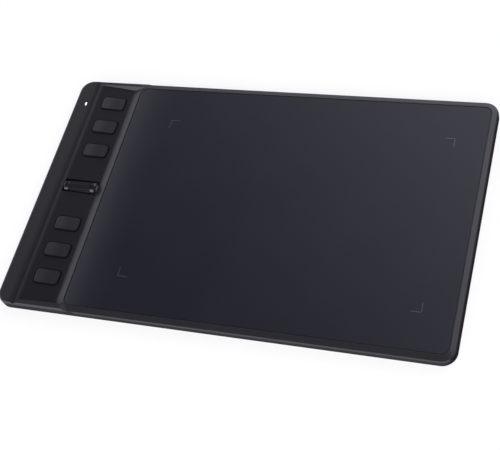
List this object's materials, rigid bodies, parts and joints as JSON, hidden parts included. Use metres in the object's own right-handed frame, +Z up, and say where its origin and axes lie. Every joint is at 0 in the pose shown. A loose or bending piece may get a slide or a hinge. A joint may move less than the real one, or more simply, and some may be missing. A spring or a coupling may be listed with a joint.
{
  "type": "graphics tablet",
  "caption": "Slim black drawing tablet: bevelled case with a matt drawing sheet, a left strip with press keys in a sloping well, a scroll roller and a small light.",
  "frame": {"origin": "on the desk under the middle of the case, at the level of the feet", "axes": "+X along the long side to the right, +Y to the back, +Z up out of the sheet"},
  "size_m": [0.244, 0.149, 0.0085],
  "materials": {
    "case_plastic": "black, satin with a fine spark-eroded grain",
    "drawing_sheet": "black, matt with a fine paper-like tooth",
    "adhesive": "thin double-sided film",
    "key_plastic": "black, smooth satin",
    "grip_rubber": "black, matt, fluted",
    "gloss_ring": "black, polished",
    "light_window": "milky white, lit",
    "foot_rubber": "black, matt",
    "steel": "nickel plated",
    "screw_steel": "black oxide",
    "circuit_board": "green solder mask",
    "chip_plastic": "black moulding compound",
    "switch_plastic": "pale grey",
    "inner_plastic": "dark grey, smooth",
    "flex_film": "amber film"
  },
  "bodies": {
    "case": {"board_screws": "screw_steel", "bottom_cover": "case_plastic", "case_screws": "screw_steel", "control_board": "circuit_board", "controller_chips": "chip_plastic", "drawing_surface": "drawing_sheet", "encoder_housing": "chip_plastic", "flex_connector": "chip_plastic", "indicator_lamp": "light_window", "indicator_light_pipe": "light_window", "key_switches": "switch_plastic", "roller_bracket_left": "inner_plastic", "roller_bracket_right": "inner_plastic", "rubber_foot_back_left": "foot_rubber", "rubber_foot_back_right": "foot_rubber", "rubber_foot_front_left": "foot_rubber", "rubber_foot_front_right": "foot_rubber", "sensor_board": "circuit_board", "sensor_flex": "flex_film", "shield_plate": "steel", "socket_shell": "steel", "socket_tongue": "chip_plastic", "surface_adhesive": "adhesive", "top_cover": "case_plastic"},
    "key_body_1": {"key_1": "key_plastic", "key_plunger_1": "inner_plastic"},
    "key_body_2": {"key_2": "key_plastic", "key_plunger_2": "inner_plastic"},
    "key_body_3": {"key_3": "key_plastic", "key_plunger_3": "inner_plastic"},
    "key_body_4": {"key_4": "key_plastic", "key_plunger_4": "inner_plastic"},
    "key_body_5": {"key_5": "key_plastic", "key_plunger_5": "inner_plastic"},
    "key_body_6": {"key_6": "key_plastic", "key_plunger_6": "inner_plastic"},
    "roller": {"roller_core": "inner_plastic", "roller_grip": "grip_rubber", "roller_ring_left": "gloss_ring", "roller_ring_right": "gloss_ring", "roller_pin": "steel", "encoder_disc": "inner_plastic"}
  },
  "joints": [
    {"name": "key_1_press", "type": "slide", "parent": "case", "child": "key_body_1", "axis": [0, 0, 1], "range_m": [-0.0004, 0], "stiffness_N_per_m": 800},
    {"name": "key_2_press", "type": "slide", "parent": "case", "child": "key_body_2", "axis": [0, 0, 1], "range_m": [-0.0004, 0], "stiffness_N_per_m": 800},
    {"name": "key_3_press", "type": "slide", "parent": "case", "child": "key_body_3", "axis": [0, 0, 1], "range_m": [-0.0004, 0], "stiffness_N_per_m": 800},
    {"name": "key_4_press", "type": "slide", "parent": "case", "child": "key_body_4", "axis": [0, 0, 1], "range_m": [-0.0004, 0], "stiffness_N_per_m": 800},
    {"name": "key_5_press", "type": "slide", "parent": "case", "child": "key_body_5", "axis": [0, 0, 1], "range_m": [-0.0004, 0], "stiffness_N_per_m": 800},
    {"name": "key_6_press", "type": "slide", "parent": "case", "child": "key_body_6", "axis": [0, 0, 1], "range_m": [-0.0004, 0], "stiffness_N_per_m": 800},
    {"name": "roller_turn", "type": "hinge", "parent": "case", "child": "roller", "pos_m": [-0.0982, 0.00145, 0.0049], "axis": [1, 0, 0], "continuous": true}
  ]
}
